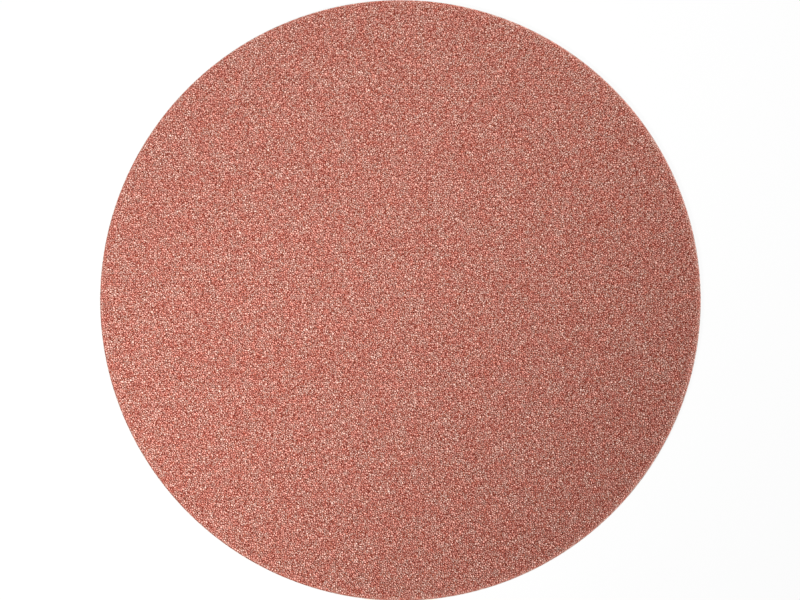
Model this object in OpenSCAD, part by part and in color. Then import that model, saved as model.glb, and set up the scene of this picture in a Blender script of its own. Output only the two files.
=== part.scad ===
// Plain round sanding disc: abrasive grain bonded to a heavy paper sheet and punched to size.
// It lies grain side up. The origin is the centre of the back face, and +Z points out of the grain.

/* [Disc] */
// Diameter of the punched disc
disc_d = 125; // [50:5:300]

/* [Sheet] */
// Thickness of the backing paper
backing_t = 0.40; // [0.20:0.05:0.80]
// Thickness of the resin that the grain stands in
bond_t = 0.10; // [0.04:0.02:0.30]
// Height of the grain tips above the resin
grain_h = 0.30; // [0.10:0.05:0.80]

/* [Punched edge] */
// Width of the bare paper edge, where the punch broke the grain away
ledge_w = 0.12; // [0.04:0.02:0.40]
// Width of the rim that the punch pressed down
rim_w = 1.40; // [0.50:0.10:3.00]
// How far the outer end of that rim lies below the grain face
rim_drop = 0.10; // [0.02:0.01:0.12]
// Bevel that the punch leaves along the bottom edge of the paper
back_bevel = 0.06; // [0.02:0.01:0.15]

/* [Hidden] */

$fn = 180;

disc_r = disc_d / 2;
coat_r = disc_r - ledge_w;
rim_start_r = coat_r - rim_w;
face_z = backing_t + bond_t + grain_h;

// Steps along the curve of the pressed rim
rim_steps = 8;

// Height of the grain face at a share of the way out across the pressed rim, level where the rim starts
function rim_z(share) = face_z - rim_drop * share * share;

// Paper from the middle of its back face out to the punched edge, and in again along the bare ledge
paper_edge = [
    [0, 0],
    [disc_r - back_bevel, 0],
    [disc_r, back_bevel],
    [disc_r, backing_t],
    [coat_r, backing_t]
];

// Grain face from the punched edge up over the pressed rim and in to the middle
grain_face = concat(
    [for (i = [rim_steps : -1 : 0]) [rim_start_r + rim_w * i / rim_steps, rim_z(i / rim_steps)]],
    [[0, face_z]]
);

// The whole disc is one bonded sheet, turned from its half section
module sanding_disc() {
    color("indianred")
        rotate_extrude()
            polygon(concat(paper_edge, grain_face));
}

sanding_disc();
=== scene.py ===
# Sanding disc lying grain side up on a white table. Everything is in metres.
import math
import bpy
import numpy as np
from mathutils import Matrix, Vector
from mathutils.geometry import delaunay_2d_cdt


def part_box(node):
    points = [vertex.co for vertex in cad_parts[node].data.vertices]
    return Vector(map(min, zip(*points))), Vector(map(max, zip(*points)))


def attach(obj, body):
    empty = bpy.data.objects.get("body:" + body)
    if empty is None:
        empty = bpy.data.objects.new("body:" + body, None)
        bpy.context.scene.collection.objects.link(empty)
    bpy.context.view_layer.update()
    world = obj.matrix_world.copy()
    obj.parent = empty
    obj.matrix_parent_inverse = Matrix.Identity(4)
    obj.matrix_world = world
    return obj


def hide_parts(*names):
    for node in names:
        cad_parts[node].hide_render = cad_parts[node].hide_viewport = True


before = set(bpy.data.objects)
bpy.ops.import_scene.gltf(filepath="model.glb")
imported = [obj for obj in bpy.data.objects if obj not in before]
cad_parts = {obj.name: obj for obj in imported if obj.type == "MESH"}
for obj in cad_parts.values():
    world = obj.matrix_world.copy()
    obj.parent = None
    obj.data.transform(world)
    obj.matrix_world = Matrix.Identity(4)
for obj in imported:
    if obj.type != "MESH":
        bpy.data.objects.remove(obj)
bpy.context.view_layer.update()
mm = 0.001
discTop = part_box("sanding_disc")[1]
discRadius = discTop.x
faceZ = discTop.z  # level of the tallest grain tips
print("frame loaded, disc", round(2 * discRadius / mm, 2), "mm across,", round(faceZ / mm, 2), "mm thick")


def linear(red, green, blue):
    # a colour as read off a screen, 0 to 255, as the linear one that shaders take
    shares = [c / 255 for c in (red, green, blue)]
    return tuple(c / 12.92 if c < 0.04045 else ((c + 0.055) / 1.055) ** 2.4 for c in shares) + (1.0,)


def join(tree, source, socket):
    # a link from another node, or a plain value on the socket itself
    if isinstance(source, bpy.types.NodeSocket):
        tree.links.new(source, socket)
    else:
        socket.default_value = source


def addNode(tree, kind, feeds=None, **settings):
    node = tree.nodes.new("ShaderNode" + kind)
    for name, value in settings.items():
        setattr(node, name, value)
    for socket, value in (feeds or {}).items():
        join(tree, value, node.inputs[socket])
    return node


def addNoise(tree, place, size, **feeds):
    return addNode(tree, "TexNoise", {"Vector": place, "Scale": 1 / size, **feeds}).outputs[0]


def addRamp(tree, source, stops):
    node = addNode(tree, "ValToRGB", {"Fac": source})
    points = node.color_ramp.elements
    while len(points) < len(stops):
        points.new(1.0)
    for point, (place, colour) in zip(points, stops):
        point.position = place
        point.color = colour
    return node.outputs["Color"]


def addMix(tree, kind, share, first, second):
    feeds = {0: share, 6: first, 7: second}  # a colour mix has its sockets at these places
    return addNode(tree, "Mix", feeds, data_type="RGBA", blend_type=kind).outputs[2]


def addRange(tree, source, fromLow, fromHigh, toLow, toHigh):
    return addNode(tree, "MapRange", {0: source, 1: fromLow, 2: fromHigh, 3: toLow, 4: toHigh}).outputs[0]


def addBump(tree, height, strength, depth):
    return addNode(tree, "Bump", {"Height": height, "Strength": strength, "Distance": depth}).outputs[0]


def newMaterial(name):
    material = bpy.data.materials.new(name)
    material.use_nodes = True
    return material


def feedShader(tree, feeds):
    for name, value in feeds.items():
        join(tree, value, tree.nodes["Principled BSDF"].inputs[name])


def addPiece(name, points, faces, material):
    mesh = bpy.data.meshes.new(name)
    mesh.from_pydata(points, [], faces)
    mesh.materials.append(material)
    piece = bpy.data.objects.new(name, mesh)
    bpy.context.scene.collection.objects.link(piece)
    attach(piece, "root")
    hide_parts("sanding_disc")
    return piece


noiseRange = (0.3, 0.7)  # where nearly all values of a noise texture lie

# Heavy paper, seen at the punched edge, on the narrow ledge and on the back
paper = {
    "thickness": 0.40 * mm,
    "bevel": 0.06 * mm,  # left by the punch along the bottom edge
    "ledge": 0.06 * mm,  # bare paper, where the punch broke the grain away
    "frayed": 0.025 * mm,  # how far cut fibres step in from the edge
    "frayedBelow": 0.3,  # how much of that there is at the foot of the bevel
    "hiddenRings": (0.1 * mm, 2 * mm),  # rings of points under the grain, this far in from its end
    "edgePoints": 1800,
    "edgeLayers": 5,
    "fibreTones": [(0.30, linear(148, 129, 112)), (0.65, linear(216, 200, 184))],
    "fibre": 0.35 * mm,  # along the sheet
    "layer": 0.08 * mm,  # through the sheet
    "cloudTints": [(0.35, (0.84, 0.82, 0.80, 1)), (0.65, (1, 1, 1, 1))],
    "cloud": 6 * mm,
    "roughness": (0.95, 0.8),  # from the dark fibres to the pale ones
    "bump": (0.5, 0.03 * mm),  # strength and depth
    "seed": 7,
}
coatRadius = discRadius - paper["ledge"]


def makePaperMaterial():
    material = newMaterial("heavyPaper")
    tree = material.node_tree
    place = addNode(tree, "TexCoord").outputs["Object"]
    stretch = (1, 1, paper["fibre"] / paper["layer"])
    flat = addNode(tree, "Mapping", {"Vector": place, "Scale": stretch}).outputs[0]
    fibres = addNoise(tree, flat, paper["fibre"], Detail=5.0, Roughness=0.65, Distortion=2.0)
    clouds = addNoise(tree, place, paper["cloud"], Detail=3.0)
    tone = addRamp(tree, fibres, paper["fibreTones"])
    shade = addRamp(tree, clouds, paper["cloudTints"])
    feedShader(tree, {
        "Base Color": addMix(tree, "MULTIPLY", 1.0, tone, shade),
        "Roughness": addRange(tree, fibres, *noiseRange, *paper["roughness"]),
        "Normal": addBump(tree, fibres, *paper["bump"]),
    })
    return material


def makePaper():
    rng = np.random.default_rng(paper["seed"])
    count = paper["edgePoints"]
    turn = np.arange(count) * 2 * math.pi / count
    near, far = (coatRadius - reach for reach in paper["hiddenRings"])
    # radius, level and frayed share of each ring, from the middle of the back round to the top
    rings = [(far, 0.0, 0.0), (discRadius - paper["bevel"], 0.0, paper["frayedBelow"])]
    for i in range(paper["edgeLayers"] + 1):
        z = paper["bevel"] + (paper["thickness"] - paper["bevel"]) * i / paper["edgeLayers"]
        rings.append((discRadius, z, 1.0))
    rings += [(near, paper["thickness"], 0.0), (far, paper["thickness"], 0.0)]
    points = []
    for radius, z, ragged in rings:
        reach = radius - ragged * paper["frayed"] * rng.uniform(0, 1, count) ** 2
        points += np.stack([reach * np.cos(turn), reach * np.sin(turn), np.full(count, z)], 1).tolist()
    faces = [tuple(range(count - 1, -1, -1))]
    for ring in range(len(rings) - 1):
        for i in range(count):
            a, b = ring * count + i, ring * count + (i + 1) % count
            faces.append((a, b, b + count, a + count))
    faces.append(tuple(range((len(rings) - 1) * count, len(rings) * count)))
    addPiece("backingPaper", points, faces, makePaperMaterial())


# Grain in red-brown resin, as a fan of faces round each tip, some dark red and some pale
coat = {
    "spacing": 0.42 * mm,  # between the middles of neighbouring grains
    "evened": (0.35, 0.2),  # how far the scattered grains then move apart, in two rounds
    "edgeClear": 0.6,  # least way from the end of the coat to a grain, as a share of the spacing
    "edgeSpacing": 0.7,  # between the points where the coat ends, as a share of the spacing
    "broken": 0.08 * mm,  # how ragged the grain ends along the ledge
    "lean": 0.16,  # how far a tip stands off the middle of its grain, as a share of the spacing
    "leanVaries": (0.7, 1.3),  # how much that differs from grain to grain, and the most of it
    "thinnest": 0.02,  # a face below this share of a square is too thin to keep
    "resin": 0.10 * mm,  # resin on the paper, between the grains
    "sunk": 0.01 * mm,  # how far the coat reaches into the paper
    "tips": (0.60, 1.0),  # grain heights, as shares of the way from resin to face
    "edgeTips": (0.5, 0.9),  # the same where the coat ends
    "gaps": (0.0, 0.18),  # the same for the low points between grains
    "rimWidth": 1.40 * mm,  # rim that the punch pressed down and crushed
    "rimDrop": 0.06 * mm,
    "resinDrop": 0.5,  # how far the resin sinks there, as a share of that
    "rimEvened": 0.3,  # how far the punch brought its grains to half their height
    "resinColour": linear(126, 42, 14),
    "resinReach": 0.6,  # share of the way up at which that colour has faded out
    "tones": [
        (0.00, linear(110, 32, 2)),
        (0.50, linear(208, 136, 111)),
        (1.00, linear(250, 212, 198)),
    ],
    "toneSplit": (0.23, 0.20),  # well under 1, so that most faces are either dark or pale
    "balance": 0.8,  # how far dark and pale faces even out between close grains
    "closeGrains": 0.8,  # how much the grains round a grain count in that
    # The rim is a little paler all round, from crushed grain, and far paler to the right: that part is
    # painted light, where the rim lies in shade away from the lower left lamp
    "crushedAndPaintedLight": (0.14, 1.55),  # how much paler the very rim is, where least and where most; the most is painted light
    "paintedLightTurn": -5,  # in degrees, where the painted light on the rim is strongest
    "patchTints": [(0.36, (0.97, 0.675, 0.635, 1)), (0.64, (1, 1, 1, 1))],
    "patch": 1.4 * mm,
    "roughness": (0.50, 0.72),
    "refraction": 1.5,
    "scratch": 0.05 * mm,
    "bump": (0.4, 0.01 * mm),  # strength and depth
    "sectors": 3,
    "seed": 7,
}
resinZ = paper["thickness"] + coat["resin"]

# How a sector lies on its map of pictures: seen from above, with what is hidden small in a corner
bakeMap = {
    "size": 0.96,
    "hiddenSize": 0.02,
    "hiddenCorner": (0.975, 0.01),
}


def makeGrainMaterial():
    material = newMaterial("bondedGrain")
    tree = material.node_tree
    place = addNode(tree, "TexCoord").outputs["Object"]
    height = addNode(tree, "SeparateXYZ", {0: place}).outputs["Z"]
    lift = addRange(tree, height, resinZ, resinZ + coat["resinReach"] * (faceZ - resinZ), 0.0, 1.0)
    tone = addNode(tree, "Attribute", attribute_name="grainTone").outputs["Fac"]
    colour = addMix(tree, "MIX", lift, coat["resinColour"], addRamp(tree, tone, coat["tones"]))
    tint = addRamp(tree, addNoise(tree, place, coat["patch"], Detail=2.0), coat["patchTints"])
    scratches = addNoise(tree, place, coat["scratch"], Detail=3.0)
    feedShader(tree, {
        "Base Color": addMix(tree, "MULTIPLY", 1.0, colour, tint),
        "Roughness": addRange(tree, scratches, *noiseRange, *coat["roughness"]),
        "IOR": coat["refraction"],
        "Normal": addBump(tree, scratches, *coat["bump"]),
    })
    return material


def triangulate(points):
    # the triangles between the points, all facing up
    found = delaunay_2d_cdt([Vector(p) for p in (points / mm).tolist()], [], [], 0, 1e-7)
    corners = np.array(found[2])
    a, b, c = (points[corners[:, i]] for i in range(3))
    turned = np.cross(b - a, c - a) < 0
    corners[turned] = corners[turned][:, ::-1]
    return corners


def evened(values, corners, share):
    # each point's values moved part of the way to the mean of its neighbours
    total, count = np.zeros_like(values), np.zeros(len(values))
    for i in range(3):
        for j in ((i + 1) % 3, (i + 2) % 3):
            here, there = corners[:, i], values[corners[:, j]]
            total += np.stack([np.bincount(here, v, len(values)) for v in there.T], 1)
            count += np.bincount(here, minlength=len(values))
    return values + share * (total / count.clip(1)[:, None] - values)


def scatterGrains(rng):
    # one grain somewhere in each square, and a ring of points where the coat ends
    step = coat["spacing"]
    half = math.ceil(discRadius / step)
    rows, columns = np.mgrid[-half:half, -half:half]
    spots = np.stack([columns.ravel(), rows.ravel()], 1) + rng.uniform(0, 1, (rows.size, 2))
    spots = spots[np.hypot(*spots.T) * step < coatRadius - coat["edgeClear"] * step] * step
    ringCount = round(2 * math.pi * coatRadius / (coat["edgeSpacing"] * step))
    turn = np.arange(ringCount) * 2 * math.pi / ringCount
    reach = coatRadius - coat["broken"] * rng.uniform(0, 1, ringCount)
    ring = np.stack([reach * np.cos(turn), reach * np.sin(turn)], 1)
    points = np.concatenate([spots, ring])
    for share in coat["evened"]:
        moved = evened(points, triangulate(points), share)
        points = np.concatenate([moved[:len(spots)], ring])
    return points, len(spots)


def splitCells(corners, count, inner):
    # each grain is a fan round its tip, with its corners in the middle of the triangles round it
    corners = corners[(corners < inner).any(1)]  # no slivers along the ring
    start = corners.ravel()
    end = corners[:, [1, 2, 0]].ravel()
    own = np.repeat(np.arange(len(corners)), 3)
    order = np.argsort(start * count + end)
    keys = (start * count + end)[order]
    at = np.searchsorted(keys, end * count + start).clip(0, len(keys) - 1)
    shared = keys[at] == end * count + start
    other = own[order[at]]
    fans = np.stack([start, count + other, count + own], 1)
    fans[~shared, 1] = end[~shared]
    return corners, fans


def leaned(spots, fans, flat, inner, rng):
    # tips moved off the middle of their grains, except where a face would come out thin or turn over
    owner = fans[:, 0]
    moved = spots.copy()
    usual, most = coat["leanVaries"]
    moved[:inner] += coat["lean"] * coat["spacing"] * rng.normal(0, usual, (inner, 2)).clip(-most, most)
    flat = np.concatenate([moved, flat[len(spots):]])
    tip, first, second = (flat[fans[:, i]] for i in range(3))
    thin = np.cross(first - tip, second - tip) < coat["thinnest"] * coat["spacing"] ** 2
    back = np.unique(owner[thin & (owner < inner)])
    total = np.stack([np.bincount(owner, first[:, k]) for k in (0, 1)], 1)
    flat[back] = total[back] / np.bincount(owner)[back, None]
    return flat


def coatTop(points):
    # level of the grain face, and how far across the pressed rim each point is
    rim = ((np.hypot(*points.T) - coatRadius + coat["rimWidth"]) / coat["rimWidth"]).clip(0, 1)
    return faceZ - coat["rimDrop"] * rim ** 2, rim


def grainTones(flat, corners, fans, rim, rng):
    # a tone for each face of a grain, from thick dark resin at 0 to bare pale crystal at 1
    owner = fans[:, 0]
    draws = np.sort(rng.beta(*coat["toneSplit"], len(fans)))
    order = rng.uniform(0, 1, len(fans))
    tones = draws[(order * len(fans)).astype(int)]
    # the tones are dealt out again, so that pale and dark faces balance between close grains
    count = corners.max() + 1
    usual = np.bincount(owner, tones, count) / np.bincount(owner, minlength=count).clip(1)
    usual = evened(usual[:, None], corners, coat["closeGrains"])[:, 0]
    tones[np.argsort(order - coat["balance"] * usual[owner])] = draws
    # the punch crushed the rim, which is paler all round; far paler on one side is painted light, where
    # the rim edge is in shade
    least, most = coat["crushedAndPaintedLight"]
    turn = np.arctan2(flat[owner, 1], flat[owner, 0]) - math.radians(coat["paintedLightTurn"])
    paleAndPaintedLight = least + (most - least) * (0.5 + 0.5 * np.cos(turn)) ** 2
    return (tones + paleAndPaintedLight * rim[owner] ** 3).clip(0, 1)


def edgesOf(faces):
    # the edges that only one face has, in that face's direction
    size = faces.max() + 1
    start, end = faces.ravel(), faces[:, [1, 2, 0]].ravel()
    lone = ~np.isin(start * size + end, end * size + start)
    return dict(zip(start[lone].tolist(), end[lone].tolist()))


def closedSector(points, faces):
    # the grain faces, with upright sides and a flat underside that close them
    used, local = np.unique(faces, return_inverse=True)
    local = local.reshape(faces.shape)
    nextOn = edgesOf(local)
    low = {v: len(used) + i for i, v in enumerate(nextOn)}
    solid = points[used].tolist()
    solid += [[*solid[v][:2], paper["thickness"] - coat["sunk"]] for v in nextOn]
    allFaces = local.tolist() + [(a, low[a], low[b], b) for a, b in nextOn.items()]
    left = dict(nextOn)
    while left:
        first, here = next(iter(left.items()))
        loop = [first]
        del left[first]
        while here != first:
            loop.append(here)
            here = left.pop(here)
        allFaces.append([low[v] for v in reversed(loop)])
    return solid, allFaces


def makeSector(name, points, faces, tones, material):
    solid, allFaces = closedSector(points, faces)
    mesh = addPiece(name, solid, allFaces, material).data
    tone = mesh.attributes.new("grainTone", "FLOAT", "FACE")
    tone.data.foreach_set("value", np.concatenate([tones, np.full(len(allFaces) - len(tones), 0.5)]))
    flat = np.array([solid[v.vertex_index][:2] for v in mesh.loops])
    flat = (flat - flat.min(0)) / np.ptp(flat, axis=0).max() * bakeMap["size"]
    hidden = np.arange(len(flat)) >= 3 * len(tones)  # the sides and the underside come last
    flat[hidden] = flat[hidden] * bakeMap["hiddenSize"] + bakeMap["hiddenCorner"]
    mesh.uv_layers.new(name="OFBake").uv.foreach_set("vector", flat.astype(np.float32).ravel())
    print(name, "has", len(allFaces), "faces")


def makeCoat():
    rng = np.random.default_rng(coat["seed"])
    spots, inner = scatterGrains(rng)
    corners, fans = splitCells(triangulate(spots), len(spots), inner)
    middles = spots[corners].mean(1)
    flat = leaned(spots, fans, np.concatenate([spots, middles]), inner, rng)
    top, rim = coatTop(flat)
    share = np.empty(len(flat))
    share[:inner] = rng.uniform(*coat["tips"], inner)
    share[inner:len(spots)] = rng.uniform(*coat["edgeTips"], len(spots) - inner)
    share[len(spots):] = rng.uniform(*coat["gaps"], len(middles))
    share += coat["rimEvened"] * rim ** 2 * (0.5 - share)
    bottom = resinZ - coat["resinDrop"] * coat["rimDrop"] * rim ** 2
    points = np.column_stack([flat, bottom + (top - bottom) * share])
    tones = grainTones(flat, corners, fans, rim, rng)
    material = makeGrainMaterial()
    turn = np.arctan2(spots[:, 1], spots[:, 0]) / (2 * math.pi) + 0.5
    sector = (turn * coat["sectors"]).astype(int).clip(0, coat["sectors"] - 1)[fans[:, 0]]
    for i in range(coat["sectors"]):
        makeSector(f"grainCoat_{i + 1}", points, fans[sector == i], tones[sector == i], material)


# White table and pale room. Both show as white, and only worldLevel of the room lights the disc
stage = {
    "floorSize": 6.0,
    "floorColour": (0.9, 0.9, 0.9, 1),
    "floorRoughness": 0.9,
    "glow": 0.93,  # how far the floor shows as plain white, and the rest of it is lit and shaded
    "worldLevel": 0.17,
}
white = (1, 1, 1, 1)


def seenDirectly(tree):
    # 1 for what the camera sees, straight or in a gloss, and 0 for light that falls on the object
    rays = addNode(tree, "LightPath")
    seen = rays.outputs["Is Camera Ray"]
    for other in ("Is Glossy Ray", "Is Transmission Ray"):
        seen = addNode(tree, "Math", {0: seen, 1: rays.outputs[other]}, operation="MAXIMUM").outputs[0]
    return seen


def makeFloor():
    material = newMaterial("whiteTable")
    tree = material.node_tree
    feedShader(tree, {"Base Color": stage["floorColour"], "Roughness": stage["floorRoughness"]})
    lit = tree.nodes["Principled BSDF"].outputs[0]
    glow = addNode(tree, "Emission", {"Color": white, "Strength": 1.0}).outputs[0]
    share = addNode(tree, "Math", {0: seenDirectly(tree), 1: stage["glow"]}, operation="MULTIPLY")
    both = addNode(tree, "MixShader", {0: share.outputs[0], 1: lit, 2: glow}).outputs[0]
    join(tree, both, tree.nodes["Material Output"].inputs["Surface"])
    half = stage["floorSize"] / 2
    square = [(-half, -half, 0), (half, -half, 0), (half, half, 0), (-half, half, 0)]
    mesh = bpy.data.meshes.new("whiteTable")
    mesh.from_pydata(square, [], [(0, 1, 2, 3)])
    mesh.materials.append(material)
    floor = bpy.data.objects.new("whiteTable", mesh)
    bpy.context.scene.collection.objects.link(floor)


def makeWorld():
    world = bpy.data.worlds.new("paleRoom")
    bpy.context.scene.world = world
    world.use_nodes = True
    tree = world.node_tree
    background = tree.nodes["Background"]
    join(tree, white, background.inputs["Color"])
    level = addRange(tree, seenDirectly(tree), 0.0, 1.0, stage["worldLevel"], 1.0)
    join(tree, level, background.inputs["Strength"])


# Square lamps: the stronger one stands to the lower left, and the weaker one lifts the upper right
lamps = {
    "lowerLeft": {
        "place": (-0.233, -0.194, 0.22),
        "aim": (-0.033, -0.007),  # point on the table
        "size": 0.10,
        "spread": 61,  # in degrees
        "power": 0.257,  # in watts
    },
    "upperRight": {
        "place": (0.185, 0.14, 0.276),
        "aim": (-0.029, 0.068),
        "size": 0.16,
        "spread": 52,
        "power": 0.085,
    },
}


def makeLamps():
    for name, lamp in lamps.items():
        light = bpy.data.lights.new(name, "AREA")
        light.size = lamp["size"]
        light.spread = math.radians(lamp["spread"])
        light.energy = lamp["power"]
        holder = bpy.data.objects.new(name, light)
        holder.location = lamp["place"]
        aim = Vector((*lamp["aim"], 0)) - holder.location
        holder.rotation_euler = aim.to_track_quat("-Z", "Y").to_euler()
        holder.visible_camera = False
        bpy.context.scene.collection.objects.link(holder)


# The camera looks straight down, and the disc nearly fills the height of the picture
camera = {
    "lens": 85,
    "sensor": 36,
    "clip": (0.01, 20),
    "picture": (800, 600),  # in pixels, as are the next two
    "discMiddle": (400.4, 300.4),  # from the top left corner
    "discRadius": 300.4,
}


def makeCamera():
    width, height = camera["picture"]
    perPixel = discRadius / camera["discRadius"]
    across = (width / 2 - camera["discMiddle"][0]) * perPixel
    up = (camera["discMiddle"][1] - height / 2) * perPixel
    distance = width * perPixel * camera["lens"] / camera["sensor"]
    data = bpy.data.cameras.new("overhead")
    data.lens = camera["lens"]
    data.sensor_width = camera["sensor"]
    data.clip_start, data.clip_end = camera["clip"]
    holder = bpy.data.objects.new("overhead", data)
    holder.location = (across, up, distance + paper["thickness"])
    bpy.context.scene.collection.objects.link(holder)
    bpy.context.scene.camera = holder


makePaper()
print("paper made")
makeCoat()
print("grain coat made")
makeFloor()
makeWorld()
makeLamps()
makeCamera()
bpy.context.scene.view_settings.view_transform = "Standard"
print("table, lamps and camera set")
